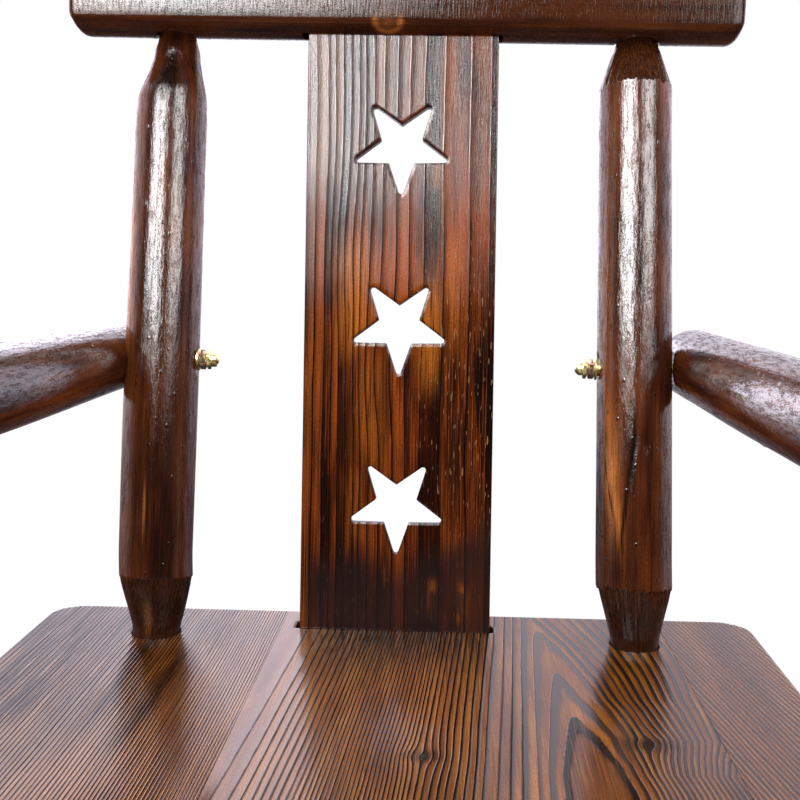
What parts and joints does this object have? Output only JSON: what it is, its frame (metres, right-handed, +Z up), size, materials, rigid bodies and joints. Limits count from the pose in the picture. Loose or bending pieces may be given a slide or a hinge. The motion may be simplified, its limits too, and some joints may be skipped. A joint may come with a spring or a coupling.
{
  "type": "swivel bar stool",
  "caption": "Rustic swivel bar stool with arms: splayed log legs, plank seat on a ball-bearing swivel, raked log posts, star-pierced splat and slabbed log rail.",
  "frame": {"origin": "on the floor, on the swivel's vertical axis, midway between the four feet", "axes": "+Z up along the swivel's axis, -Y towards the front edge of the seat, +X to the right in a view from the front"},
  "size_m": [0.5716, 0.5716, 1.3141],
  "materials": {
    "charred_log": "charred, brushed and gloss varnished",
    "charred_rail": "charred, sawn flat at the front, gloss varnished",
    "charred_splat": "charred, brushed and gloss varnished",
    "charred_seat": "charred, brushed and gloss varnished",
    "charred_plank": "charred, thin varnish",
    "yellow_zinc": "yellow zinc plated, bright",
    "zinc_steel": "zinc plated, satin"
  },
  "bodies": {
    "base": {"leg_front_left": "charred_log", "leg_front_right": "charred_log", "leg_rear_left": "charred_log", "leg_rear_right": "charred_log", "base_plank": "charred_plank", "footrest_front": "charred_log", "rung_rear": "charred_log", "rung_left": "charred_log", "rung_right": "charred_log", "swivel_lower_plate": "zinc_steel", "swivel_kingpin": "zinc_steel", "swivel_lower_screw_1": "zinc_steel", "swivel_lower_screw_2": "zinc_steel", "swivel_lower_screw_3": "zinc_steel", "swivel_lower_screw_4": "zinc_steel"},
    "bearing": {"ball_cage": "zinc_steel"},
    "seat": {"swivel_upper_plate": "zinc_steel", "swivel_upper_screw_1": "zinc_steel", "swivel_upper_screw_2": "zinc_steel", "swivel_upper_screw_3": "zinc_steel", "swivel_upper_screw_4": "zinc_steel", "seat_board_left": "charred_seat", "seat_board_centre": "charred_seat", "seat_board_right": "charred_seat", "seat_cleat_front": "charred_plank", "seat_cleat_rear": "charred_plank", "cleat_screw_front_left": "zinc_steel", "cleat_screw_front_centre": "zinc_steel", "cleat_screw_front_right": "zinc_steel", "cleat_screw_rear_left": "zinc_steel", "cleat_screw_rear_centre": "zinc_steel", "cleat_screw_rear_right": "zinc_steel", "back_post_left": "charred_log", "back_post_right": "charred_log", "back_splat": "charred_splat", "top_rail": "charred_rail", "armrest_left": "charred_log", "armrest_right": "charred_log", "arm_post_left": "charred_log", "arm_post_right": "charred_log", "arm_bolt_left": "yellow_zinc", "arm_bolt_right": "yellow_zinc", "arm_washer_left": "yellow_zinc", "arm_washer_right": "yellow_zinc", "arm_nut_left": "yellow_zinc", "arm_nut_right": "yellow_zinc", "arm_cap_nut_left": "yellow_zinc", "arm_cap_nut_right": "yellow_zinc"}
  },
  "joints": [
    {"name": "seat_swivel", "type": "hinge", "parent": "base", "child": "seat", "pos_m": [0, 0, 0.688], "axis": [0, 0, 1], "continuous": true},
    {"name": "cage_roll", "type": "hinge", "parent": "base", "child": "bearing", "pos_m": [0, 0, 0.688], "axis": [0, 0, 1], "continuous": true}
  ],
  "couplings": [
    {"joint": "cage_roll", "follows": "seat_swivel", "ratio": 0.5}
  ]
}
